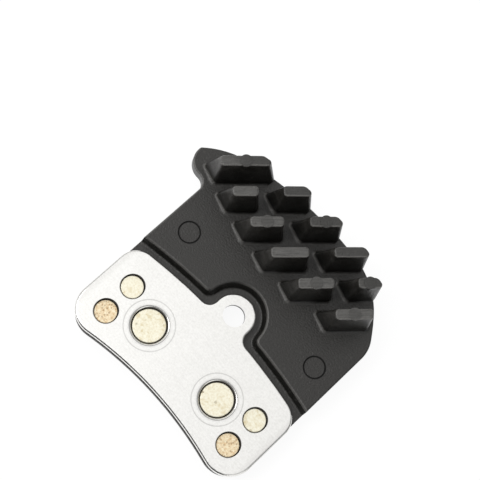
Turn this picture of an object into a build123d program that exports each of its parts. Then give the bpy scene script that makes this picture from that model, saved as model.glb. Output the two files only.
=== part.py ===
from build123d import *
from math import asin, cos, radians, sin, sqrt, tan
import os

# Finned disc brake pad for a four-piston bicycle caliper, in millimetres.
# The origin is on the pad pin's axis, in the radiator's friction-side face.
# X runs along the pad, Y towards the fins, Z towards the pistons.

# Layers, from the friction face up to the fin tips
BLOCK_T = 1.6
CARRIER_T = 0.5
SHEET_T = 0.8
PLATE_T = 1.2
FIELD_T = 2.4
FIN_H = 7.9

# Steel plate
PLATE_HALF = 19.2
PLATE_TOP_Y = -2.0
PLATE_TOP_R = 100.0
PLATE_LOW_Y = -17.7
PLATE_LOW_R = 65.0
PLATE_UPPER_CORNER = 3.6
PLATE_LOWER_CORNER = 4.5
EAR_R = 3.6
EAR_FILLET = 1.6
PLATE_ROLL = 0.45
PIN_R = 1.9

# Rivets and studs
RIVET_LINE_Y = -11.2
MAIN_X = 7.9
UPPER_X = 14.3
UPPER_RISE = 2.2
LOWER_X = 14.2
LOWER_DROP = 3.55
MAIN_HEAD_R = 2.72
MAIN_SHANK_R = 2.2
SMALL_HEAD_R = 1.83
SMALL_SHANK_R = 1.4
MAIN_GAP = 0.2
SMALL_GAP = 0.14
SHANK_FIT = 0.05
LEDGE_T = 0.5
RIVET_RECESS = 0.32
STUD_RECESS = 0.42
HEAD_BREAK = 0.1
MAIN_RIM_R = 0.3
SMALL_RIM_R = 0.12
COIN_R = 4.15
COIN_W = 0.22
COIN_DEPTH = 0.05

# Radiator outline
RAD_HALF = 19.0
RAD_LIP = 0.15
RAD_TOP_X = 0.6
RAD_TOP_Y = 21.75
RAD_TOP_R = 62.0
CUT_LOW_Y = 12.25
CUT_HIGH_X = 11.5
CUT_BULGE = 0.42
HORN_ROOT_OUT = 0.3
HORN_REACH = 5.05
HORN_TIP_Y = 14.95
HORN_UNDER_Y = 11.6
HORN_BULGE = 0.28
CUT_LOW_FILLET = 5.5
CUT_HIGH_FILLET = 14.0
HORN_ROOT_FILLET = 3.0
HORN_TIP_FILLET = 0.6
HORN_HEEL_FILLET = 2.9
HORN_THROAT_FILLET = 1.8
RAD_EDGE_R = 0.3

# Stepped bed of the plate in the radiator
CHANNEL = 1.1
BED_RUNOUT = 6.0
BED_ANGLE = 23.0
BED_FILLET = 1.6
BED_FLOOR_R = 0.4

# Round mould marks, left bare
MARK_X = 14.75
MARK_Y = 3.75
MARK_R = 1.9
MARK_DEPTH = 0.05
MARK_GROOVE_W = 0.26
MARK_GROOVE_DEPTH = 0.22

# Fins, laid out along and across one slanting direction
FIN_ANGLE = 48.5
ROW_PITCH = 4.92
FIRST_ROW = 23.33
FIN_TOP_HALF = 0.85
FIN_BASE_HALF = 1.5
FIN_TOE_BACK = 1.6
FIN_TOE_FRONT = 0.1
FIN_SINK = 0.4
FIN_FOOT_W = 0.6
FIN_FOOT_H = 0.5
FIN_FOOT_STEPS = 5
FIN_BREAK = 0.24
BACK_TOE_TIP_R = 0.6
BACK_TOE_FOOT_R = 0.25
FRONT_TOE_R = 0.65
FRONT_HEEL_R = 0.6
BACK_HEEL_R = 0.6
FRONT_RIM_R = 0.6
BACK_RIM_R = 1.15
PAD_R = 1.0
PAD_SINK = 3.0
PAD_RISE = 0.1

# Each fin: row, inner and outer end of its tip, how far its foot runs on past the outer end,
# whether that end lies along the rim, whether it has an ejector pad
FINS = (
    (0, -2.7, 5.5, 0.8, True, True),
    (1, -0.9, 3.2, 0.9, False, False),
    (1, 7.2, 11.7, 0.65, True, False),
    (2, 1.7, 7.1, 0.9, False, True),
    (2, 11.2, 16.5, 0.55, True, True),
    (3, 4.8, 10.9, 0.9, False, False),
    (3, 14.9, 20.5, 0.4, True, False),
    (4, 8.9, 14.7, 0.9, False, True),
    (4, 18.5, 22.3, 0.4, True, True),
    (5, 14.6, 20.7, 0.9, False, True),
)

# Ribs on the friction side, one behind each fin row: row, inner end, outer end
RIBS = (
    (0, -2.3, 4.6),
    (1, -0.7, 11.1),
    (2, 1.9, 15.8),
    (3, 4.8, 19.7),
    (4, 9.0, 21.6),
    (5, 14.7, 20.4),
)
RIB_W = 1.65
RIB_H = 0.55
RIB_ANGLE = 20.0
RIB_EDGE_R = 0.2

# Friction block and its carrier
BLOCK_HALF = 18.0
BLOCK_TOP_Y = -4.1
BLOCK_TOP_R = 80.0
BLOCK_LOW_Y = -16.65
BLOCK_CORNER = 3.2
BLOCK_EDGE_R = 0.25

# Levels and hole sizes that follow from the values above
PLATE_FACE = SHEET_T + PLATE_T
LEDGE_Z = SHEET_T + LEDGE_T
FIN_TIP = FIELD_T + FIN_H
UPPER_Y = RIVET_LINE_Y + UPPER_RISE
LOWER_Y = RIVET_LINE_Y - LOWER_DROP
HORN_ROOT_X = -RAD_HALF - HORN_ROOT_OUT
HORN_TIP_X = -RAD_HALF - HORN_REACH
MAIN_SPOTS = ((MAIN_X, RIVET_LINE_Y), (-MAIN_X, RIVET_LINE_Y))
UPPER_SPOTS = ((UPPER_X, UPPER_Y), (-UPPER_X, UPPER_Y))
LOWER_SPOTS = ((LOWER_X, LOWER_Y), (-LOWER_X, LOWER_Y))
MARK_SPOTS = ((MARK_X, MARK_Y), (-MARK_X, MARK_Y))


def arc_y(apex_x, apex_y, radius, x):
    """Height at x of a downward-curving arc with this apex."""
    return apex_y - radius + sqrt(radius**2 - (x - apex_x) ** 2)


def nearest_vertex(sketch, x, y):
    """The sketch corner closest to a point."""
    return sketch.vertices().sort_by_distance((x, y, 0))[0]


def fin_plane(z):
    """Plane at height z whose X axis runs along the fins."""
    direction = (cos(radians(FIN_ANGLE)), sin(radians(FIN_ANGLE)), 0)
    return Plane(origin=(0, 0, z), x_dir=direction, z_dir=(0, 0, 1))


def rim_slant(outer, row):
    """How far a fin's end runs on from side to side, per unit of width, to lie along the rim."""
    across = FIRST_ROW - row * ROW_PITCH
    x = outer * cos(radians(FIN_ANGLE)) - across * sin(radians(FIN_ANGLE))
    rim_angle = asin((RAD_TOP_X - x) / RAD_TOP_R)
    return 1 / tan(radians(FIN_ANGLE) - rim_angle)


def fin_corners(inner, outer, heel, row, to_rim, spread, grow):
    """Corners of one level of a fin: spread 0 at the tip and 1 at the foot, grown outwards by grow."""
    across = FIRST_ROW - row * ROW_PITCH
    half = FIN_TOP_HALF + spread * (FIN_BASE_HALF - FIN_TOP_HALF) + grow
    slope = rim_slant(outer, row) if to_rim else 0.0
    slant = slope * half
    end = outer + spread * heel + (min(grow, 0.0) * sqrt(1 + slope**2) if to_rim else grow)
    return [
        (inner - spread * FIN_TOE_BACK - grow, across + half),
        (inner - spread * FIN_TOE_FRONT - grow, across - half),
        (end + slant, across - half),
        (end - slant, across + half),
    ]


def fin_radii(to_rim, spread, grow):
    """Rounding of those corners, in the same order."""
    back_toe = BACK_TOE_TIP_R + spread * (BACK_TOE_FOOT_R - BACK_TOE_TIP_R)
    front_end = FRONT_RIM_R if to_rim else FRONT_HEEL_R
    back_end = BACK_RIM_R if to_rim else BACK_HEEL_R
    return [radius + grow for radius in (back_toe, FRONT_TOE_R, front_end, back_end)]


# Outline of the steel plate, drawn flat at the origin
plate_upper_y = arc_y(0, PLATE_TOP_Y, PLATE_TOP_R, PLATE_HALF)
plate_lower_y = arc_y(0, PLATE_LOW_Y, PLATE_LOW_R, PLATE_HALF)
with BuildSketch() as plate_outline:
    with BuildLine():
        ThreePointArc((PLATE_HALF, plate_upper_y), (0, PLATE_TOP_Y), (-PLATE_HALF, plate_upper_y))
        Line((-PLATE_HALF, plate_upper_y), (-PLATE_HALF, plate_lower_y))
        ThreePointArc((-PLATE_HALF, plate_lower_y), (0, PLATE_LOW_Y), (PLATE_HALF, plate_lower_y))
        Line((PLATE_HALF, plate_lower_y), (PLATE_HALF, plate_upper_y))
    make_face()
    for side in (PLATE_HALF, -PLATE_HALF):
        fillet(nearest_vertex(plate_outline, side, plate_upper_y), PLATE_UPPER_CORNER)
        fillet(nearest_vertex(plate_outline, side, plate_lower_y), PLATE_LOWER_CORNER)
    Circle(EAR_R)
    Rectangle(2 * EAR_R, -2 * PLATE_TOP_Y, align=(Align.CENTER, Align.MAX))
    ear_root_y = arc_y(0, PLATE_TOP_Y, PLATE_TOP_R, EAR_R)
    for side in (EAR_R, -EAR_R):
        fillet(nearest_vertex(plate_outline, side, ear_root_y), EAR_FILLET)

# Outline of the radiator, with the horn on one side and the cut corner on the other
rad_low_mid = PLATE_LOW_Y - RAD_LIP
rad_low_y = arc_y(0, rad_low_mid, PLATE_LOW_R, RAD_HALF)
cut_high_y = arc_y(RAD_TOP_X, RAD_TOP_Y, RAD_TOP_R, CUT_HIGH_X)
horn_root_y = arc_y(RAD_TOP_X, RAD_TOP_Y, RAD_TOP_R, HORN_ROOT_X)
with BuildSketch() as radiator_outline:
    with BuildLine():
        ThreePointArc((-RAD_HALF, rad_low_y), (0, rad_low_mid), (RAD_HALF, rad_low_y))
        Line((RAD_HALF, rad_low_y), (RAD_HALF, CUT_LOW_Y))
        SagittaArc((RAD_HALF, CUT_LOW_Y), (CUT_HIGH_X, cut_high_y), -CUT_BULGE)
        ThreePointArc(
            (CUT_HIGH_X, cut_high_y),
            (RAD_TOP_X, RAD_TOP_Y),
            (HORN_ROOT_X, horn_root_y),
        )
        SagittaArc((HORN_ROOT_X, horn_root_y), (HORN_TIP_X, HORN_TIP_Y), -HORN_BULGE)
        Polyline(
            (HORN_TIP_X, HORN_TIP_Y),
            (HORN_TIP_X, HORN_UNDER_Y),
            (-RAD_HALF, HORN_UNDER_Y),
            (-RAD_HALF, rad_low_y),
        )
    make_face()
    for side in (RAD_HALF, -RAD_HALF):
        fillet(nearest_vertex(radiator_outline, side, rad_low_y), PLATE_LOWER_CORNER)
    fillet(nearest_vertex(radiator_outline, RAD_HALF, CUT_LOW_Y), CUT_LOW_FILLET)
    fillet(nearest_vertex(radiator_outline, CUT_HIGH_X, cut_high_y), CUT_HIGH_FILLET)
    fillet(nearest_vertex(radiator_outline, HORN_ROOT_X, horn_root_y), HORN_ROOT_FILLET)
    fillet(nearest_vertex(radiator_outline, HORN_TIP_X, HORN_TIP_Y), HORN_TIP_FILLET)
    fillet(nearest_vertex(radiator_outline, HORN_TIP_X, HORN_UNDER_Y), HORN_HEEL_FILLET)
    fillet(nearest_vertex(radiator_outline, -RAD_HALF, HORN_UNDER_Y), HORN_THROAT_FILLET)

# Floor of the plate's bed: the plate's upper edge and ear, one channel width further out
bed_top_y = PLATE_TOP_Y + CHANNEL
bed_top_r = PLATE_TOP_R + CHANNEL
bed_ear_r = EAR_R + CHANNEL
bed_side = RAD_HALF + BED_RUNOUT
bed_side_y = arc_y(0, bed_top_y, bed_top_r, bed_side)
with BuildSketch() as bed_outline:
    with BuildLine():
        ThreePointArc((bed_side, bed_side_y), (0, bed_top_y), (-bed_side, bed_side_y))
        Polyline(
            (-bed_side, bed_side_y),
            (-bed_side, 2 * PLATE_LOW_Y),
            (bed_side, 2 * PLATE_LOW_Y),
            (bed_side, bed_side_y),
        )
    make_face()
    Circle(bed_ear_r)
    bed_root_y = arc_y(0, bed_top_y, bed_top_r, bed_ear_r)
    for side in (bed_ear_r, -bed_ear_r):
        fillet(nearest_vertex(bed_outline, side, bed_root_y), BED_FILLET)

# Outline shared by the friction block and its carrier
block_upper_y = arc_y(0, BLOCK_TOP_Y, BLOCK_TOP_R, BLOCK_HALF)
block_lower_y = arc_y(0, BLOCK_LOW_Y, PLATE_LOW_R, BLOCK_HALF)
with BuildSketch() as block_outline:
    with BuildLine():
        ThreePointArc((BLOCK_HALF, block_upper_y), (0, BLOCK_TOP_Y), (-BLOCK_HALF, block_upper_y))
        Line((-BLOCK_HALF, block_upper_y), (-BLOCK_HALF, block_lower_y))
        ThreePointArc((-BLOCK_HALF, block_lower_y), (0, BLOCK_LOW_Y), (BLOCK_HALF, block_lower_y))
        Line((BLOCK_HALF, block_lower_y), (BLOCK_HALF, block_upper_y))
    make_face()
    fillet(block_outline.vertices(), BLOCK_CORNER)

# Radiator casting: stepped field, drafted fins with flared feet, ejector pads, ribs and holes
foot_turns = [radians(90 * step / FIN_FOOT_STEPS) for step in range(FIN_FOOT_STEPS + 1)]
fin_levels = [(FIELD_T - FIN_SINK, 1.0, FIN_FOOT_W)]
fin_levels += [(FIELD_T + FIN_FOOT_H * (1 - cos(turn)), 1.0, FIN_FOOT_W * (1 - sin(turn))) for turn in foot_turns]
fin_levels += [
    (FIN_TIP - FIN_BREAK, 0.02, 0.0),
    (FIN_TIP - 0.3 * FIN_BREAK, 0.01, -0.3 * FIN_BREAK),
    (FIN_TIP, 0.0, -FIN_BREAK),
]
with BuildPart() as radiator:
    with BuildSketch():
        add(radiator_outline.sketch)
    extrude(amount=FIELD_T)
    with BuildSketch(Plane.XY.offset(SHEET_T)):
        add(bed_outline.sketch)
    extrude(amount=FIELD_T - SHEET_T, taper=-BED_ANGLE, mode=Mode.SUBTRACT)
    bed_edges = radiator.edges().filter_by_position(Axis.Z, SHEET_T, SHEET_T)
    fillet(bed_edges.filter_by(lambda e: e.center().Y > bed_side_y), BED_FLOOR_R)
    fillet(radiator.faces().sort_by(Axis.Z)[-1].outer_wire().edges(), RAD_EDGE_R)
    with BuildSketch(Plane.XY.offset(FIELD_T)):
        with Locations(*MARK_SPOTS):
            Circle(MARK_R)
    extrude(amount=-MARK_DEPTH, mode=Mode.SUBTRACT)
    with BuildSketch(Plane.XY.offset(FIELD_T)):
        with Locations(*MARK_SPOTS):
            Circle(MARK_R)
            Circle(MARK_R - MARK_GROOVE_W, mode=Mode.SUBTRACT)
    extrude(amount=-MARK_GROOVE_DEPTH, mode=Mode.SUBTRACT)
    for row, inner, outer, heel, to_rim, has_pad in FINS:
        for level, spread, grow in fin_levels:
            corners = fin_corners(inner, outer, heel, row, to_rim, spread, grow)
            radii = fin_radii(to_rim, spread, grow)
            with BuildSketch(fin_plane(level)) as fin_level:
                with BuildLine():
                    Polyline(*corners, close=True)
                make_face()
                for corner, radius in zip(corners, radii):
                    fillet(nearest_vertex(fin_level, *corner), radius)
        loft(ruled=True)
        if has_pad:
            with BuildSketch(fin_plane(FIN_TIP + PAD_RISE)):
                with Locations(((inner + outer) / 2, FIRST_ROW - row * ROW_PITCH)):
                    Circle(PAD_R)
            extrude(amount=-PAD_SINK)
    for row, inner, outer in RIBS:
        with BuildSketch(fin_plane(0)):
            with Locations(((inner + outer) / 2, FIRST_ROW - row * ROW_PITCH)):
                SlotCenterToCenter(outer - inner - RIB_W, RIB_W)
        extrude(amount=-RIB_H, taper=RIB_ANGLE)
    fillet(radiator.edges().filter_by_position(Axis.Z, -RIB_H, -RIB_H), RIB_EDGE_R)
    with Locations((0, 0, FIELD_T)):
        Hole(PIN_R)
    with Locations(*[(x, y, SHEET_T) for x, y in MAIN_SPOTS]):
        Hole(MAIN_SHANK_R + SHANK_FIT)
    with Locations(*[(x, y, SHEET_T) for x, y in UPPER_SPOTS + LOWER_SPOTS]):
        Hole(SMALL_SHANK_R + SHANK_FIT)

# Steel plate on its bed
with BuildPart() as back_plate:
    with BuildSketch(Plane.XY.offset(SHEET_T)):
        add(plate_outline.sketch)
    extrude(amount=PLATE_T)
    fillet(back_plate.faces().sort_by(Axis.Z)[-1].outer_wire().edges(), PLATE_ROLL)
    with Locations((0, 0, PLATE_FACE)):
        Hole(PIN_R)
    with Locations(*[(x, y, PLATE_FACE) for x, y in MAIN_SPOTS]):
        CounterBoreHole(MAIN_SHANK_R + SHANK_FIT, MAIN_HEAD_R + MAIN_GAP, PLATE_T - LEDGE_T)
    with Locations(*[(x, y, PLATE_FACE) for x, y in UPPER_SPOTS + LOWER_SPOTS]):
        CounterBoreHole(SMALL_SHANK_R + SHANK_FIT, SMALL_HEAD_R + SMALL_GAP, PLATE_T - LEDGE_T)
    face_rims = back_plate.edges().filter_by(GeomType.CIRCLE).filter_by_position(Axis.Z, PLATE_FACE, PLATE_FACE)
    fillet(face_rims.filter_by(lambda e: abs(e.radius - MAIN_HEAD_R - MAIN_GAP) < 0.01), MAIN_RIM_R)
    face_rims = back_plate.edges().filter_by(GeomType.CIRCLE).filter_by_position(Axis.Z, PLATE_FACE, PLATE_FACE)
    fillet(face_rims.filter_by(lambda e: abs(e.radius - SMALL_HEAD_R - SMALL_GAP) < 0.01), SMALL_RIM_R)
    with BuildSketch(Plane.XY.offset(PLATE_FACE)):
        with Locations(*MAIN_SPOTS):
            Circle(COIN_R + COIN_W / 2)
            Circle(COIN_R - COIN_W / 2, mode=Mode.SUBTRACT)
    extrude(amount=-COIN_DEPTH, mode=Mode.SUBTRACT)

# Carrier under the radiator
with BuildPart() as friction_carrier:
    with BuildSketch(Plane.XY.offset(-CARRIER_T)):
        add(block_outline.sketch)
    extrude(amount=CARRIER_T)

# Friction block under the carrier
with BuildPart() as friction_block:
    with BuildSketch(Plane.XY.offset(-CARRIER_T - BLOCK_T)):
        add(block_outline.sketch)
    extrude(amount=BLOCK_T)
    fillet(friction_block.faces().sort_by(Axis.Z)[0].outer_wire().edges(), BLOCK_EDGE_R)

# Large rivets: shank through the radiator, swaged head on the plate's ledge
main_head_t = PLATE_T - LEDGE_T - RIVET_RECESS
with BuildPart() as main_rivets:
    with Locations(*[(x, y, 0) for x, y in MAIN_SPOTS]):
        Cylinder(MAIN_SHANK_R, LEDGE_Z, align=(Align.CENTER, Align.CENTER, Align.MIN))
    with Locations(*[(x, y, LEDGE_Z) for x, y in MAIN_SPOTS]):
        Cylinder(MAIN_HEAD_R, main_head_t, align=(Align.CENTER, Align.CENTER, Align.MIN))
    fillet(main_rivets.edges().group_by(Axis.Z)[-1], HEAD_BREAK)

# Small upper rivets
with BuildPart() as upper_rivets:
    with Locations(*[(x, y, 0) for x, y in UPPER_SPOTS]):
        Cylinder(SMALL_SHANK_R, LEDGE_Z, align=(Align.CENTER, Align.CENTER, Align.MIN))
    with Locations(*[(x, y, LEDGE_Z) for x, y in UPPER_SPOTS]):
        Cylinder(SMALL_HEAD_R, main_head_t, align=(Align.CENTER, Align.CENTER, Align.MIN))
    fillet(upper_rivets.edges().group_by(Axis.Z)[-1], HEAD_BREAK)

# Small lower studs, a little deeper in their holes
stud_head_t = PLATE_T - LEDGE_T - STUD_RECESS
with BuildPart() as lower_studs:
    with Locations(*[(x, y, 0) for x, y in LOWER_SPOTS]):
        Cylinder(SMALL_SHANK_R, LEDGE_Z, align=(Align.CENTER, Align.CENTER, Align.MIN))
    with Locations(*[(x, y, LEDGE_Z) for x, y in LOWER_SPOTS]):
        Cylinder(SMALL_HEAD_R, stud_head_t, align=(Align.CENTER, Align.CENTER, Align.MIN))
    fillet(lower_studs.edges().group_by(Axis.Z)[-1], HEAD_BREAK)

# Labels and one file for each piece
os.makedirs("parts", exist_ok=True)
back_plate.part.label = "back_plate"
export_step(back_plate.part, "parts/back_plate.step")
radiator.part.label = "radiator"
export_step(radiator.part, "parts/radiator.step")
friction_carrier.part.label = "friction_carrier"
export_step(friction_carrier.part, "parts/friction_carrier.step")
friction_block.part.label = "friction_block"
export_step(friction_block.part, "parts/friction_block.step")
main_rivets.part.label = "main_rivets"
export_step(main_rivets.part, "parts/main_rivets.step")
upper_rivets.part.label = "upper_rivets"
export_step(upper_rivets.part, "parts/upper_rivets.step")
lower_studs.part.label = "lower_studs"
export_step(lower_studs.part, "parts/lower_studs.step")
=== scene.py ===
import math

import bpy
from mathutils import Matrix, Vector


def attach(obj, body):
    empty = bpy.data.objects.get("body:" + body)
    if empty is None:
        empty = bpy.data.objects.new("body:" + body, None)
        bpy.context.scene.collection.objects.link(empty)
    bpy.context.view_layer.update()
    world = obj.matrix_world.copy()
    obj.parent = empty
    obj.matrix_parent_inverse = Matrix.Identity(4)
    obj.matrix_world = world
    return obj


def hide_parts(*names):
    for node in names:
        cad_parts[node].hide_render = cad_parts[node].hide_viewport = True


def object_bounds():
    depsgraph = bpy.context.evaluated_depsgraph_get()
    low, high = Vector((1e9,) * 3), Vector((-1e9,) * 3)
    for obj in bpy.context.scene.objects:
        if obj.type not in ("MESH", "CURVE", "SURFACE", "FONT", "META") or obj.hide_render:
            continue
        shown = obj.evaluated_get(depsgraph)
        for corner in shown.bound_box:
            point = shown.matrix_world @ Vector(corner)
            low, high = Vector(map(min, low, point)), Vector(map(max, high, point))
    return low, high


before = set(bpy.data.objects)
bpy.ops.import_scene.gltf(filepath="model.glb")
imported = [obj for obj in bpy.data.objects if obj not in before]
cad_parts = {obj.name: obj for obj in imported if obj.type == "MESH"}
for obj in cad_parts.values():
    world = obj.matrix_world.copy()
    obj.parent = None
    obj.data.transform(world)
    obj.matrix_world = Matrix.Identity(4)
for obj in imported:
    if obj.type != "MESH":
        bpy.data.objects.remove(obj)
cad_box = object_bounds()


# Friction carrier
# A thin blanked steel sheet under the casting, copper plated so that the compound sinters on to it.
# Only its edge and a rim of its lower face are seen: warm plating, a little uneven and tarnished.
MM = 0.001
WHOLE = (0.0, 1.0)
COPPER = (0.62, 0.36, 0.23)
COPPER_TARNISH = (0.36, 0.19, 0.12)
COPPER_ROUGH = (0.32, 0.55)
COPPER_RELIEF = (0.35, 0.02 * MM)
TARNISH_ENDS = (0.35, 1.0)
TARNISH_MOST = 0.7
NOISE_ENDS = (0.28, 0.72)
NOISE_ROUGH = 0.6
SPECK_LEAST = 0.22
SPECK_MORE = 0.25


# A value is another node's socket, which is linked, or a constant.
def fill(tree, inputs, values):
    for key, value in values.items():
        if isinstance(value, bpy.types.NodeSocket):
            tree.links.new(value, inputs[key])
        else:
            inputs[key].default_value = value


def put(tree, kind, values=None, **settings):
    made = tree.nodes.new(kind)
    for key, value in settings.items():
        setattr(made, key, value)
    fill(tree, made.inputs, values or {})
    return made


def reckon(tree, operation, *terms):
    return put(tree, "ShaderNodeMath", dict(enumerate(terms)), operation=operation).outputs[0]


# Lays a value between two ends out over another range, and holds it there beyond them.
def stretch(tree, value, ends, onto=WHOLE):
    return put(tree, "ShaderNodeMapRange", {
        "Value": value, "From Min": ends[0], "From Max": ends[1], "To Min": onto[0], "To Max": onto[1],
    }, clamp=True).outputs[0]


def rise(tree, value, ends, most=1.0):
    return stretch(tree, value, ends, (0.0, most))


def fade(tree, value, ends, most=1.0):
    return stretch(tree, value, ends, (most, 0.0))


def tint(tree, share, first, second):
    mixed = {0: share}
    for place, colour in ((6, first), (7, second)):
        mixed[place] = colour if isinstance(colour, bpy.types.NodeSocket) else (*colour, 1)
    return put(tree, "ShaderNodeMix", mixed, data_type="RGBA").outputs[2]


# How often a pattern of a size in millimetres repeats in a metre.
def per_metre(tree, size):
    return reckon(tree, "DIVIDE", 1.0 / MM, size)


def open_group(name, inputs, outputs):
    group = bpy.data.node_groups.new(name, "ShaderNodeTree")
    new_socket = group.interface.new_socket
    new_socket(name="Place", in_out="INPUT", socket_type="NodeSocketVector")
    for label, value in inputs.items():
        new_socket(name=label, in_out="INPUT", socket_type="NodeSocketFloat").default_value = value
    for label in outputs:
        new_socket(name=label, in_out="OUTPUT", socket_type="NodeSocketFloat")
    return group, group.nodes.new("NodeGroupInput").outputs, group.nodes.new("NodeGroupOutput").inputs


def open_finish(name):
    finish = bpy.data.materials.new(name)
    finish.use_nodes = True
    tree = finish.node_tree
    place = put(tree, "ShaderNodeTexCoord").outputs["Object"]
    return finish, tree, tree.nodes["Principled BSDF"].inputs, place


def place_group(tree, group, place, **values):
    made = put(tree, "ShaderNodeGroup", {"Place": place}, node_tree=group)
    fill(tree, made.inputs, {label.replace("_", " "): value for label, value in values.items()})
    return made.outputs


# A relief is a bump's strength and its depth in metres.
def roughen(tree, height, relief):
    strength, depth = relief
    return put(tree, "ShaderNodeBump", {
        "Height": height, "Strength": strength, "Distance": depth,
    }).outputs[0]


def dress(node, finish):
    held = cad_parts[node].data.materials
    held.clear()
    held.append(finish)


# Grain is a fine noise, Patches a slow one; both sizes are in millimetres.
grain_group, ask, give = open_group(
    "surface_grain", {"Grain mm": 0.2, "Patch mm": 4.0}, ("Grain", "Patches"))
for label, size, detail in (("Grain", "Grain mm", 3.0), ("Patches", "Patch mm", 2.0)):
    noise = put(grain_group, "ShaderNodeTexNoise", {
        "Vector": ask["Place"], "Scale": per_metre(grain_group, ask[size]),
        "Detail": detail, "Roughness": NOISE_ROUGH,
    })
    fill(grain_group, give, {label: stretch(grain_group, noise.outputs["Fac"], NOISE_ENDS)})

# Speck is one for the chosen share of small round grains, Tone a number of each grain's own.
speck_group, ask, give = open_group(
    "specks", {"Speck mm": 0.3, "Share": 0.2, "Soft": 0.12}, ("Speck", "Tone"))
cells = put(speck_group, "ShaderNodeTexVoronoi", {
    "Vector": ask["Place"], "Scale": per_metre(speck_group, ask["Speck mm"]),
}).outputs
chance, width, tone = put(speck_group, "ShaderNodeSeparateColor", {0: cells["Color"]}).outputs
picked = reckon(speck_group, "LESS_THAN", chance, ask["Share"])
reach = reckon(speck_group, "MULTIPLY_ADD", width, SPECK_MORE, SPECK_LEAST)
beyond = reckon(speck_group, "SUBTRACT", cells["Distance"], reach)
inside = fade(speck_group, beyond, (0.0, ask["Soft"]))
fill(speck_group, give, {"Speck": reckon(speck_group, "MULTIPLY", inside, picked), "Tone": tone})

copper_plating, tree, shader, place = open_finish("copper_plating")
grain = place_group(tree, grain_group, place, Grain_mm=0.12, Patch_mm=2.2)
specks = place_group(tree, speck_group, place, Speck_mm=0.5, Share=0.12)
clouded = rise(tree, grain["Patches"], TARNISH_ENDS, TARNISH_MOST)
tarnish = reckon(tree, "MAXIMUM", clouded, specks["Speck"])
fill(tree, shader, {
    "Base Color": tint(tree, tarnish, COPPER, COPPER_TARNISH),
    "Roughness": stretch(tree, grain["Patches"], WHOLE, COPPER_ROUGH),
    "Normal": roughen(tree, grain["Grain"], COPPER_RELIEF),
    "Metallic": 1.0,
})
dress("friction_carrier", copper_plating)


# Friction block
# Metal powder, graphite and hard grains pressed to the block's outline and sintered on to the carrier.
# The faces are open grained: pale bronze grains in a darker matrix, with small pits between them.
BLOCK_WELD = 0.002 * MM
BLOCK_VOXEL = 0.16 * MM
PIT_SIZES = {"Pit mm": 0.34, "Depth mm": 0.05}
PIT_ENDS = (0.3, 0.62)
PIT_ROUGH = 0.65
COMPOUND_DARK = (0.085, 0.068, 0.052)
COMPOUND_MID = (0.64, 0.52, 0.40)
COMPOUND_LIGHT = (0.95, 0.86, 0.70)
COMPOUND_GREY = (0.46, 0.44, 0.42)
COMPOUND_ROUGH = (0.85, 0.5)
COMPOUND_METAL = (0.0, 0.45)
COMPOUND_RELIEF = (0.6, 0.04 * MM)
MATRIX_ENDS = (0.15, 0.75)
GRAIN_SHINE = (0.35, 1.0)
GREY_ENDS = (0.3, 1.0)
GREY_MOST = 0.3
HARD_MOST = 0.8

compound, tree, shader, place = open_finish("sintered_compound")
grain = place_group(tree, grain_group, place, Grain_mm=0.26, Patch_mm=5.0)
bright = place_group(tree, speck_group, place, Speck_mm=0.34, Share=0.6, Soft=0.2)
hard = place_group(tree, speck_group, place, Speck_mm=0.42, Share=0.34, Soft=0.2)
matrix = tint(tree, stretch(tree, grain["Grain"], MATRIX_ENDS), COMPOUND_DARK, COMPOUND_MID)
shone = reckon(tree, "MULTIPLY", bright["Speck"], stretch(tree, bright["Tone"], WHOLE, GRAIN_SHINE))
metal = tint(tree, shone, matrix, COMPOUND_LIGHT)
mottled = tint(tree, rise(tree, grain["Patches"], GREY_ENDS, GREY_MOST), metal, COMPOUND_GREY)
hardened = reckon(tree, "MULTIPLY", hard["Speck"], HARD_MOST)
swelling = reckon(tree, "ADD", bright["Speck"], grain["Grain"])
fill(tree, shader, {
    "Base Color": tint(tree, hardened, mottled, COMPOUND_DARK),
    "Metallic": stretch(tree, bright["Speck"], WHOLE, COMPOUND_METAL),
    "Roughness": stretch(tree, bright["Speck"], WHOLE, COMPOUND_ROUGH),
    "Normal": roughen(tree, swelling, COMPOUND_RELIEF),
})


def add(name, data):
    made = bpy.data.objects.new(name, data)
    bpy.context.scene.collection.objects.link(made)
    return made


# A tree of Geometry Nodes with named sizes in millimetres and the finish of what it makes.
def open_shape(name, takes, gives, sizes):
    tree = bpy.data.node_groups.new(name, "GeometryNodeTree")
    new_socket = tree.interface.new_socket
    new_socket(name=takes, in_out="INPUT", socket_type="NodeSocketGeometry")
    known = {}
    for label, value in sizes.items():
        size = new_socket(name=label, in_out="INPUT", socket_type="NodeSocketFloat")
        size.default_value = value
        known[label] = size.identifier
    finish = new_socket(name="Finish", in_out="INPUT", socket_type="NodeSocketMaterial")
    known["Finish"] = finish.identifier
    new_socket(name=gives, in_out="OUTPUT", socket_type="NodeSocketGeometry")
    return tree, known, tree.nodes.new("NodeGroupInput").outputs


def close_shape(tree, shape, finish):
    real = put(tree, "GeometryNodeRealizeInstances", {0: shape})
    coated = put(tree, "GeometryNodeSetMaterial", {"Geometry": real.outputs[0], "Material": finish})
    fill(tree, tree.nodes.new("NodeGroupOutput").inputs, {0: coated.outputs[0]})


# Runs a tree on a piece and keeps the result as its plain mesh.
def settle(piece, tree, known, values):
    grown = piece.modifiers.new(tree.name, "NODES")
    grown.node_group = tree
    for label, value in values.items():
        grown[known[label]] = value
    bpy.context.view_layer.update()
    grown_piece = piece.evaluated_get(bpy.context.evaluated_depsgraph_get())
    shape = bpy.data.meshes.new_from_object(grown_piece)
    piece.modifiers.clear()
    piece.data = shape
    shape.shade_smooth()
    return shape


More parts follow.
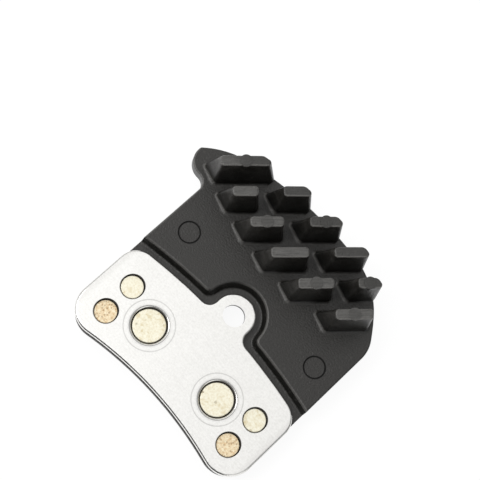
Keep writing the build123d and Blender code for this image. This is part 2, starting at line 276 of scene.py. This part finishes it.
# Pits go inwards only, so that the block keeps its size.
pits, pit_sockets, ask = open_shape("compound_pits", "Block", "Block", PIT_SIZES)
hollows = put(pits, "ShaderNodeTexNoise", {
    "Scale": per_metre(pits, ask["Pit mm"]), "Detail": 2.0, "Roughness": PIT_ROUGH,
})
sunk = stretch(pits, hollows.outputs["Fac"], PIT_ENDS, (-MM, 0.0))
inward = put(pits, "ShaderNodeVectorMath", {
    0: put(pits, "GeometryNodeInputNormal").outputs[0],
    "Scale": reckon(pits, "MULTIPLY", sunk, ask["Depth mm"]),
}, operation="SCALE")
pitted = put(pits, "GeometryNodeSetPosition", {
    "Geometry": ask["Block"], "Offset": inward.outputs[0],
})
close_shape(pits, pitted.outputs[0], ask["Finish"])

friction_block = add("sintered_block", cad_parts["friction_block"].data.copy())
friction_block.data.materials.clear()
weld = friction_block.modifiers.new("weld", "WELD")
weld.merge_threshold = BLOCK_WELD
remesh = friction_block.modifiers.new("remesh", "REMESH")
remesh.mode = "VOXEL"
remesh.voxel_size = BLOCK_VOXEL
remesh.use_smooth_shade = True
settle(friction_block, pits, pit_sockets, {**PIT_SIZES, "Finish": compound})
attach(friction_block, "root")
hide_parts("friction_block")


# Radiator
# One aluminium die casting: the sheet under the plate, the raised field and the ten slanting fins.
# Its satin black coat is slightly grained by the mould and worn on the tips, with painted shade at the fin
# feet and painted highlights on the toe flares and tip edges.
COAT = (0.0125, 0.0112, 0.0092)
COAT_PALE = (0.0250, 0.0234, 0.0206)
COAT_WORN = (0.100, 0.097, 0.091)
COAT_DUST = (0.06, 0.057, 0.052)
COAT_SHADE = (0.004, 0.004, 0.003)
COAT_EDGE_HIGHLIGHT = (0.20, 0.195, 0.185)
COAT_FLARE_HIGHLIGHT = (0.085, 0.082, 0.077)
COAT_ROUGH = (0.33, 0.40)
COAT_ROUGH_GRAIN = (-0.04, 0.04)
COAT_RELIEF = (0.9, 0.05 * MM)
COAT_GLOSS = 0.56
STREAK_ENDS = (0.3, 0.7)
FIN_TURN = math.radians(48.5)
TIP_Z = (10.05 * MM, 10.18 * MM)
EJECTOR_PAD_Z = (10.32 * MM, 10.38 * MM)
EJECTOR_PAD_WEAR = 0.6
OUTER_FINS_Y = (14.5 * MM, 17.5 * MM)
OUTER_FINS_WEAR = 0.25
WEAR_ENDS = (0.1, 0.9)
WEAR_STREAKS = (0.45, 1.0)
WEAR_RELIEF = 0.8
WALL_LEAN = (0.7, 0.95)
SCUFF_ENDS = (0.4, 0.95)
SCUFF_MOST = 0.8
FOOT_Z = (2.4 * MM, 8.5 * MM)
FOOT_MOST = 0.9
FLARE_Z = (2.7 * MM, 3.0 * MM)
FLARE_LEAN = (-0.35, -0.05)
EDGE_LEAN = (-0.5, -0.2)
EDGE_MOST = 0.85
DUST_MOST = 0.35
UPPER_SIDE_Z = 2.0 * MM
MARK_SPOT = (14.75 * MM, 3.75 * MM)
MARK_R = 1.77 * MM
MARK_LINE = (0.12 * MM, 0.17 * MM)
GROOVE_SHADE_ROUGH = 0.9


def split(tree, vector):
    return tuple(put(tree, "ShaderNodeSeparateXYZ", {0: vector}).outputs)


# Distance in plan from a spot and from its mirror image on the pad's other half.
def plan_distance(tree, x, y, spot):
    flat = put(tree, "ShaderNodeCombineXYZ", {0: reckon(tree, "ABSOLUTE", x), 1: y}).outputs[0]
    apart = put(tree, "ShaderNodeVectorMath", {0: flat, 1: (*spot, 0)}, operation="DISTANCE")
    return apart.outputs["Value"]


# A ring of some radius, full up to the line's first distance from it and gone at the second.
def ring_line(tree, apart, radius, line, most=1.0):
    off_ring = reckon(tree, "ABSOLUTE", reckon(tree, "SUBTRACT", apart, radius))
    return fade(tree, off_ring, line, most)


# Streak runs along one direction of the piece; its width and length are in millimetres.
streak_group, ask, give = open_group(
    "streaks", {"Wide mm": 0.1, "Long mm": 3.0, "Turn": 0.0}, ("Streak",))
turned = put(streak_group, "ShaderNodeVectorRotate", {
    "Vector": ask["Place"], "Angle": ask["Turn"],
}, rotation_type="Z_AXIS")
along, across, upwards = split(streak_group, turned.outputs[0])
drawn = put(streak_group, "ShaderNodeCombineXYZ", {
    0: reckon(streak_group, "DIVIDE", along, ask["Long mm"]),
    1: reckon(streak_group, "DIVIDE", across, ask["Wide mm"]),
    2: reckon(streak_group, "DIVIDE", upwards, ask["Wide mm"]),
})
lines = put(streak_group, "ShaderNodeTexNoise", {
    "Vector": drawn.outputs[0], "Scale": 1.0 / MM, "Detail": 3.0, "Roughness": NOISE_ROUGH,
})
fill(streak_group, give, {"Streak": stretch(streak_group, lines.outputs["Fac"], STREAK_ENDS)})

black_coat, tree, shader, place = open_finish("satin_black_coat")
grain = place_group(tree, grain_group, place, Grain_mm=0.3, Patch_mm=6.0)
scuffs = place_group(tree, grain_group, place, Grain_mm=0.5, Patch_mm=1.4)
dust = place_group(tree, speck_group, place, Speck_mm=0.55, Share=0.1, Soft=0.2)
streaks = place_group(tree, streak_group, place, Wide_mm=0.22, Long_mm=2.4, Turn=-FIN_TURN)
x, y, z = split(tree, place)
leaning = put(tree, "ShaderNodeVectorRotate", {
    "Vector": put(tree, "ShaderNodeNewGeometry").outputs["Normal"], "Angle": -FIN_TURN,
}, rotation_type="Z_AXIS")
lean_along, lean_across, lean_up = split(tree, leaning.outputs[0])

# The tips are worn in streaks along the fins, less on the outer fins and on the raised ejector pads.
inner = stretch(tree, y, OUTER_FINS_Y, (1.0, OUTER_FINS_WEAR))
rubbed = reckon(tree, "MULTIPLY", rise(tree, z, TIP_Z), inner)
spared = stretch(tree, z, EJECTOR_PAD_Z, (1.0, EJECTOR_PAD_WEAR))
drawn_wear = stretch(tree, streaks["Streak"], WEAR_ENDS, WEAR_STREAKS)
worn = reckon(tree, "MULTIPLY", rubbed, reckon(tree, "MULTIPLY", spared, drawn_wear))
even = tint(tree, worn, tint(tree, grain["Grain"], COAT, COAT_PALE), COAT_WORN)

# The walls are scuffed, and painted shade darkens them towards the foot.
steep = fade(tree, reckon(tree, "ABSOLUTE", lean_up), WALL_LEAN)
scuffed = reckon(tree, "MULTIPLY", steep, rise(tree, scuffs["Patches"], SCUFF_ENDS, SCUFF_MOST))
foot_shade = reckon(tree, "MULTIPLY", steep, fade(tree, z, FOOT_Z, FOOT_MOST))
walls = tint(tree, foot_shade, tint(tree, scuffed, even, COAT_DUST), COAT_SHADE)

# Painted highlights lighten the flares at the toes and the front edges of the tips, on the side that faces
# the light.
on_top = reckon(tree, "GREATER_THAN", z, UPPER_SIDE_Z)
low = reckon(tree, "MULTIPLY", on_top, fade(tree, z, FLARE_Z))
flare_highlight = reckon(tree, "MULTIPLY", low, fade(tree, lean_along, FLARE_LEAN))
high = rise(tree, z, TIP_Z, EDGE_MOST)
edge_highlight = reckon(tree, "MULTIPLY", high, fade(tree, lean_across, EDGE_LEAN))
shaped = tint(tree, edge_highlight, tint(tree, flare_highlight, walls, COAT_FLARE_HIGHLIGHT), COAT_EDGE_HIGHLIGHT)

# A few specks of dust lie on it, and painted shade darkens the grooves of the two round mould marks.
dusty = reckon(tree, "MULTIPLY", dust["Speck"], rise(tree, dust["Tone"], WHOLE, DUST_MOST))
groove = ring_line(tree, plan_distance(tree, x, y, MARK_SPOT), MARK_R, MARK_LINE)
groove_shade = reckon(tree, "MULTIPLY", on_top, groove)
rough = reckon(tree, "ADD", stretch(tree, grain["Patches"], WHOLE, COAT_ROUGH),
               stretch(tree, grain["Grain"], WHOLE, COAT_ROUGH_GRAIN))
relief = reckon(tree, "ADD", grain["Grain"], reckon(tree, "MULTIPLY", worn, WEAR_RELIEF))
fill(tree, shader, {
    "Base Color": tint(tree, groove_shade, tint(tree, dusty, shaped, COAT_DUST), COAT_SHADE),
    "Roughness": reckon(tree, "MAXIMUM", rough, rise(tree, groove_shade, WHOLE, GROOVE_SHADE_ROUGH)),
    "Normal": roughen(tree, relief, COAT_RELIEF),
    "Specular IOR Level": COAT_GLOSS,
})
dress("radiator", black_coat)


# Back plate
# A stainless steel plate, blanked to outline and counterbored, its upper edge rolled over by the punch.
# The faces are finely blasted and bright, with a faint rolling grain along the plate.
STEEL = (1.0, 0.992, 0.966)
STEEL_DULL = (0.81, 0.802, 0.776)
STEEL_END_SHADE = (0.46, 0.45, 0.43)
STEEL_ROUGH = (0.30, 0.42)
STEEL_ROUGH_ENDS = (0.0, 0.85)
STEEL_RELIEF = (0.4, 0.016 * MM)
PATCH_SHADE = 0.15
GRAIN_SHADE = 0.6
STREAK_SHADE = 0.25
STREAK_RELIEF = 0.5
ROLLED_LEAN = (0.95, 0.999)
ROLLED_ROUGH = 0.4
PLATE_END_X = (17.8 * MM, 19.2 * MM)
PLATE_END_MOST = 0.3
MAIN_SPOT = (7.9 * MM, -11.2 * MM)
UPPER_SPOT = (14.3 * MM, -9.0 * MM)
LOWER_SPOT = (14.2 * MM, -14.75 * MM)
COIN_R = 4.15 * MM
COIN_LINE = (0.06 * MM, 0.12 * MM)
COIN_MOST = 0.24
RIM_R = 3.21 * MM
RIM_LINE = (0.045 * MM, 0.09 * MM)
RIM_MOST = 0.65
RIM_SHADE_R = 3.6 * MM
RIM_SHADE_MOST = 0.2
STEEL_PAINTED_SHADE = (0.035, 0.03, 0.024)
STEEL_PAINTED_SHADE_METAL = 0.1
STEEL_PAINTED_SHADE_ROUGH = 0.8
MAIN_GAP_SHADE = ((0.0, 1.0), (0.09 * MM, 0.8))
SMALL_GAP_SHADE = ((0.0, 0.55), (0.13 * MM, 1.0))
GAPS = (
    (MAIN_SPOT, 2.93 * MM, MAIN_GAP_SHADE),
    (UPPER_SPOT, 1.98 * MM, SMALL_GAP_SHADE),
    (LOWER_SPOT, 1.98 * MM, SMALL_GAP_SHADE),
)
GAP_SOFT = 0.04 * MM

bright_steel, tree, shader, place = open_finish("blasted_steel")
grain = place_group(tree, grain_group, place, Grain_mm=0.3, Patch_mm=7.0)
streaks = place_group(tree, streak_group, place, Wide_mm=0.12, Long_mm=5.0, Turn=0.0)
blotched = reckon(tree, "MULTIPLY", grain["Patches"], PATCH_SHADE)
grained = reckon(tree, "MULTIPLY_ADD", grain["Grain"], GRAIN_SHADE, blotched)
shade = reckon(tree, "MULTIPLY_ADD", streaks["Streak"], STREAK_SHADE, grained)

# Painted shade darkens the coined ring and the rim around each main rivet, with a fainter band just outside
# the rim.
x, y = split(tree, place)[:2]
apart = plan_distance(tree, x, y, MAIN_SPOT)
coined = ring_line(tree, apart, COIN_R, COIN_LINE, COIN_MOST)
rimmed = ring_line(tree, apart, RIM_R, RIM_LINE, RIM_MOST)
outside = reckon(tree, "GREATER_THAN", apart, RIM_R)
near = fade(tree, apart, (RIM_R, RIM_SHADE_R), RIM_SHADE_MOST)
shaded = reckon(tree, "MULTIPLY", outside, near)
painted_shade = reckon(tree, "MAXIMUM", coined, reckon(tree, "MAXIMUM", rimmed, shaded))

# Painted shade also fills the gap around each head; a second disc, set off a little, makes it thicker
# above.
for spot, gap_r, discs in GAPS:
    for shift, most in discs:
        apart = plan_distance(tree, x, y, (spot[0], spot[1] + shift))
        disc = fade(tree, apart, (gap_r, gap_r + GAP_SOFT), most)
        painted_shade = reckon(tree, "MAXIMUM", disc, painted_shade)

upright = split(tree, put(tree, "ShaderNodeNewGeometry").outputs["Normal"])[2]
rolled = fade(tree, upright, ROLLED_LEAN)
# Both ends of the plate are painted darker, as painted shade.
shaded_ends = rise(tree, reckon(tree, "ABSOLUTE", x), PLATE_END_X, PLATE_END_MOST)
plate_tone = tint(tree, shaded_ends, tint(tree, shade, STEEL, STEEL_DULL), STEEL_END_SHADE)
blasted = stretch(tree, shade, STEEL_ROUGH_ENDS, STEEL_ROUGH)
satin = reckon(tree, "MULTIPLY", blasted, stretch(tree, rolled, WHOLE, (1.0, ROLLED_ROUGH)))
relief = reckon(tree, "MULTIPLY_ADD", streaks["Streak"], STREAK_RELIEF, grain["Grain"])
fill(tree, shader, {
    "Base Color": tint(tree, painted_shade, plate_tone, STEEL_PAINTED_SHADE),
    "Metallic": stretch(tree, painted_shade, WHOLE, (1.0, STEEL_PAINTED_SHADE_METAL)),
    "Roughness": reckon(tree, "MAXIMUM", satin, rise(tree, painted_shade, WHOLE, STEEL_PAINTED_SHADE_ROUGH)),
    "Normal": roughen(tree, relief, STEEL_RELIEF),
})
dress("back_plate", bright_steel)


# Main rivets
# Two large steel rivets, plated pale gold, that stand on the carrier and are swaged over the plate's ledge.
# The swaging leaves a flat matt head with a small rounded rim and a few dark specks pressed in.
MAIN_SIZES = {
    "Head mm": 2.72, "Top mm": 1.68, "Ledge mm": 1.3, "Shank mm": 2.2, "Rim mm": 0.16, "Dish mm": 0.015,
}
HEAD_FLAT = 0.82
FLAT_FILLET = 0.2 * MM
LEDGE_FILLET = 0.04 * MM
FILLET_STEPS = 6
ROUND_STEPS = 72
AXIS_R = 0.001 * MM
AXIS_WELD = 0.004 * MM
TURN_SEED = 7
TURN_MOST = 6.283
SHARP_ANGLE = math.radians(38)
GOLD = (0.99, 0.955, 0.79)
GOLD_DEEP = (0.72, 0.61, 0.37)
GOLD_SPECK = (0.30, 0.24, 0.15)
GOLD_METAL = 0.35
GOLD_ROUGH = (0.38, 0.56)
GOLD_RELIEF = (0.3, 0.02 * MM)
MOTTLE_ENDS = (0.35, 1.0)
MOTTLE_MOST = 0.85
DEEPEN_ENDS = (0.25, 1.0)
DEEPEN_MOST = 0.5
PRESSED_IN = (0.15, 0.8)

pale_gold, tree, shader, place = open_finish("pale_gold_plating")
grain = place_group(tree, grain_group, place, Grain_mm=0.32, Patch_mm=2.4)
flecks = place_group(tree, speck_group, place, Speck_mm=0.7, Share=0.55, Soft=0.6)
marks = place_group(tree, speck_group, place, Speck_mm=0.5, Share=0.025, Soft=0.3)
clouded = rise(tree, grain["Patches"], MOTTLE_ENDS, MOTTLE_MOST)
mottle = reckon(tree, "MULTIPLY", flecks["Speck"], clouded)
deepened = reckon(tree, "ADD", mottle, rise(tree, grain["Grain"], DEEPEN_ENDS, DEEPEN_MOST))
pressed = reckon(tree, "MULTIPLY", marks["Speck"], stretch(tree, marks["Tone"], WHOLE, PRESSED_IN))
fill(tree, shader, {
    "Base Color": tint(tree, pressed, tint(tree, deepened, GOLD, GOLD_DEEP), GOLD_SPECK),
    "Roughness": stretch(tree, grain["Grain"], WHOLE, GOLD_ROUGH),
    "Normal": roughen(tree, grain["Grain"], GOLD_RELIEF),
    "Metallic": GOLD_METAL,
})

# A head and shank turned from one profile, set on each spot and given a small turn of its own.
rivet, rivet_sockets, ask = open_shape("swaged_rivet", "Spots", "Rivets", MAIN_SIZES)
head, top, ledge, shank, rim, dish = (
    reckon(rivet, "MULTIPLY", ask[label], MM) for label in MAIN_SIZES)
hollow = reckon(rivet, "SUBTRACT", top, dish)
flat_edge = reckon(rivet, "MULTIPLY", head, HEAD_FLAT)
profile = (
    (0.0, 0.0, 0.0), (shank, 0.0, 0.0), (shank, ledge, 0.0), (head, ledge, LEDGE_FILLET),
    (head, top, rim), (flat_edge, top, FLAT_FILLET), (0.0, hollow, 0.0),
)
index = put(rivet, "GeometryNodeInputIndex").outputs[0]
corner = put(rivet, "GeometryNodeIndexSwitch", {"Index": index}, data_type="VECTOR")
bend = put(rivet, "GeometryNodeIndexSwitch", {"Index": index}, data_type="FLOAT")
for switch in (corner, bend):
    while len(switch.index_switch_items) < len(profile):
        switch.index_switch_items.new()
for step, (out, up, fillet) in enumerate(profile, 1):
    spot = put(rivet, "ShaderNodeCombineXYZ", {0: out, 1: reckon(rivet, "MULTIPLY", up, -1.0)})
    fill(rivet, corner.inputs, {step: spot.outputs[0]})
    fill(rivet, bend.inputs, {step: fillet})
line = put(rivet, "GeometryNodeMeshLine", {"Count": len(profile)})
bent = put(rivet, "GeometryNodeSetPosition", {
    "Geometry": line.outputs[0], "Position": corner.outputs[0],
})
outline = put(rivet, "GeometryNodeMeshToCurve", {0: bent.outputs[0]})
rounded = put(rivet, "GeometryNodeFilletCurve", {
    "Curve": outline.outputs[0], "Radius": bend.outputs[0], "Limit Radius": True, "Count": FILLET_STEPS,
}, mode="POLY")
axis = put(rivet, "GeometryNodeCurvePrimitiveCircle", {"Resolution": ROUND_STEPS, "Radius": AXIS_R})
upright = put(rivet, "GeometryNodeSetCurveNormal", {0: axis.outputs[0]}, mode="Z_UP")
turned = put(rivet, "GeometryNodeCurveToMesh", {0: upright.outputs[0], 1: rounded.outputs[0]})
welded = put(rivet, "GeometryNodeMergeByDistance", {
    "Geometry": turned.outputs[0], "Distance": AXIS_WELD,
})
twist = put(rivet, "FunctionNodeRandomValue", {3: TURN_MOST, "Seed": TURN_SEED}, data_type="FLOAT")
spin = put(rivet, "ShaderNodeCombineXYZ", {2: twist.outputs[1]})
spread = put(rivet, "GeometryNodeInstanceOnPoints", {
    "Points": ask["Spots"], "Instance": welded.outputs[0], "Rotation": spin.outputs[0],
})
close_shape(rivet, spread.outputs[0], ask["Finish"])


# One on each half of the plate.
def set_rivets(name, spot, sizes, finish, node):
    dots = bpy.data.meshes.new(name)
    dots.from_pydata([(side * spot[0], spot[1], 0.0) for side in (-1, 1)], [], [])
    rivets = add(name, dots)
    heads = settle(rivets, rivet, rivet_sockets, {**sizes, "Finish": finish})
    heads.set_sharp_from_angle(angle=SHARP_ANGLE)
    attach(rivets, "root")
    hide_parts(node)


set_rivets("swaged_main_rivets", MAIN_SPOT, MAIN_SIZES, pale_gold, "main_rivets")


# Upper rivets
# Two smaller rivets of the same plated steel, at the plate's upper corners.
# They are swaged into counterbores of their own, with their heads a little below the plate's face.
UPPER_SIZES = {
    "Head mm": 1.83, "Top mm": 1.68, "Ledge mm": 1.3, "Shank mm": 1.4, "Rim mm": 0.1, "Dish mm": 0.01,
}
set_rivets("swaged_upper_rivets", UPPER_SPOT, UPPER_SIZES, pale_gold, "upper_rivets")


# Lower studs
# Two studs of sintered bronze at the plate's lower corners, pressed through the same kind of counterbore.
# They sit a little deeper, and their open grain shows tan and brown.
STUD_SIZES = {
    "Head mm": 1.83, "Top mm": 1.58, "Ledge mm": 1.3, "Shank mm": 1.4, "Rim mm": 0.08, "Dish mm": 0.005,
}
BRONZE = (0.81, 0.60, 0.35)
BRONZE_PALE = (1.0, 0.90, 0.66)
BRONZE_PORE = (0.42, 0.26, 0.13)
BRONZE_METAL = 0.3
BRONZE_ROUGH = (0.5, 0.75)
BRONZE_RELIEF = (0.4, 0.03 * MM)
BRONZE_ENDS = (0.15, 0.85)
PORE_DARK = (0.1, 0.6)

sintered_bronze, tree, shader, place = open_finish("sintered_bronze")
grain = place_group(tree, grain_group, place, Grain_mm=0.4, Patch_mm=1.2)
pores = place_group(tree, speck_group, place, Speck_mm=0.32, Share=0.5, Soft=0.35)
even = tint(tree, stretch(tree, grain["Grain"], BRONZE_ENDS), BRONZE, BRONZE_PALE)
pored = reckon(tree, "MULTIPLY", pores["Speck"], stretch(tree, pores["Tone"], WHOLE, PORE_DARK))
relief = reckon(tree, "SUBTRACT", grain["Grain"], pores["Speck"])
fill(tree, shader, {
    "Base Color": tint(tree, pored, even, BRONZE_PORE),
    "Roughness": stretch(tree, pores["Speck"], WHOLE, BRONZE_ROUGH),
    "Normal": roughen(tree, relief, BRONZE_RELIEF),
    "Metallic": BRONZE_METAL,
})
set_rivets("sintered_lower_studs", LOWER_SPOT, STUD_SIZES, sintered_bronze, "lower_studs")


# Floor
# A plain white sheet that the pad lies on, compound down.
# It shows as white and keeps the pad's soft shadow.
FLOOR_HALF = 3.0
FLOOR_CORNERS = ((-1, -1), (1, -1), (1, 1), (-1, 1))
FLOOR_PALE = (0.88, 0.88, 0.88, 1)
FLOOR_SHADED = (0.11, 0.11, 0.11, 1)
FLOOR_GLOW = 0.92
WHITE = (1, 1, 1, 1)

sheet = bpy.data.meshes.new("floor")
corners = [(x * FLOOR_HALF, y * FLOOR_HALF, cad_box[0].z) for x, y in FLOOR_CORNERS]
sheet.from_pydata(corners, [], [(0, 1, 2, 3)])
floor = add("floor", sheet)
white_sheet = bpy.data.materials.new("white_sheet")
white_sheet.use_nodes = True
tree = white_sheet.node_tree
tree.nodes.clear()


def seen_directly(tree):
    rays = put(tree, "ShaderNodeLightPath").outputs
    mirrored = reckon(tree, "MAXIMUM", rays["Is Glossy Ray"], rays["Is Transmission Ray"])
    return reckon(tree, "MAXIMUM", rays["Is Camera Ray"], mirrored)


bounce = put(tree, "ShaderNodeBsdfDiffuse", {"Color": FLOOR_PALE})
shadow_part = put(tree, "ShaderNodeBsdfDiffuse", {"Color": FLOOR_SHADED})
white_part = put(tree, "ShaderNodeEmission", {"Color": WHITE, "Strength": FLOOR_GLOW})
shown = put(tree, "ShaderNodeAddShader", {0: shadow_part.outputs[0], 1: white_part.outputs[0]})
either = put(tree, "ShaderNodeMixShader", {
    0: seen_directly(tree), 1: bounce.outputs[0], 2: shown.outputs[0],
})
put(tree, "ShaderNodeOutputMaterial", {"Surface": either.outputs[0]})
sheet.materials.append(white_sheet)


# Studio light
# A large soft sky that is brighter over the pad's left end, and one soft lamp high on that side.
# Seen directly the room is white. Mirrored, it is dim low down, with a dark flag and a white card.
SKY_TOWARDS = (-0.600, 0.130, 0.789)
SKY_LEAST = 0.10
SKY_MORE = 1.4
SKY_FALL = 1.5
CEILING_ENDS = (0.15, 0.7)
CEILING_LEVEL = (0.3, 1.0)
WALL_ENDS = (0.05, 0.5)
WALL_LEVEL = (0.12, 1.0)
FLAG_TOWARDS = (0.285, -0.925, 0.250)
FLAG_ENDS = (0.6, 0.85)
FLAG_LEVEL = (1.0, 0.1)
CARD_TOWARDS = (0.873, -0.304, 0.382)
CARD_ENDS = (0.85, 0.95)
KEY_PLACE = Vector((-0.168, -0.126, 0.28))
KEY_SIZE = 0.14
KEY_POWER = 0.36

studio = bpy.data.worlds.new("studio")
bpy.context.scene.world = studio
studio.use_nodes = True
tree = studio.node_tree
tree.nodes.clear()
ray = put(tree, "ShaderNodeTexCoord").outputs["Generated"]


def facing(tree, ray, way):
    met = put(tree, "ShaderNodeVectorMath", {0: ray, 1: way}, operation="DOT_PRODUCT")
    return met.outputs["Value"]


to_sky = facing(tree, ray, SKY_TOWARDS)
to_flag = facing(tree, ray, FLAG_TOWARDS)
to_card = facing(tree, ray, CARD_TOWARDS)
glow = reckon(tree, "POWER", reckon(tree, "MAXIMUM", to_sky, 0.0), SKY_FALL)
level = reckon(tree, "MULTIPLY_ADD", glow, SKY_MORE, SKY_LEAST)
soft_sky = put(tree, "ShaderNodeBackground", {"Color": WHITE, "Strength": level})
ceiling = stretch(tree, to_sky, CEILING_ENDS, CEILING_LEVEL)
height = split(tree, ray)[2]
dimmed = reckon(tree, "MULTIPLY", ceiling, stretch(tree, height, WALL_ENDS, WALL_LEVEL))
flagged = reckon(tree, "MULTIPLY", dimmed, stretch(tree, to_flag, FLAG_ENDS, FLAG_LEVEL))
carded = reckon(tree, "MAXIMUM", flagged, rise(tree, to_card, CARD_ENDS))
plain = reckon(tree, "MAXIMUM", carded, put(tree, "ShaderNodeLightPath").outputs["Is Camera Ray"])
white_room = put(tree, "ShaderNodeBackground", {"Color": WHITE, "Strength": plain})
either = put(tree, "ShaderNodeMixShader", {
    0: seen_directly(tree), 1: soft_sky.outputs[0], 2: white_room.outputs[0],
})
put(tree, "ShaderNodeOutputWorld", {"Surface": either.outputs[0]})

key_light = bpy.data.lights.new("key", "AREA")
key_light.size = KEY_SIZE
key_light.energy = KEY_POWER
key = add("key", key_light)
key_turn = KEY_PLACE.to_track_quat("Z", "Y").to_matrix().to_4x4()
key.matrix_world = Matrix.Translation(KEY_PLACE) @ key_turn


# Camera
# A long lens close above the pad, tipped a little from the friction side.
# It is turned so that the fins run level.
lens = bpy.data.cameras.new("camera")
lens.lens = 90
lens.sensor_width = 36
lens.clip_start = 0.01
camera = add("camera", lens)
camera.matrix_world = Matrix((
    (0.678650, -0.731954, 0.060279, 0.00334),
    (0.718418, 0.644568, -0.261464, -0.04176),
    (0.152527, 0.220763, 0.963327, 0.18961),
    (0, 0, 0, 1),
))
bpy.context.scene.camera = camera
bpy.context.scene.view_settings.view_transform = "Standard"

bpy.context.view_layer.update()
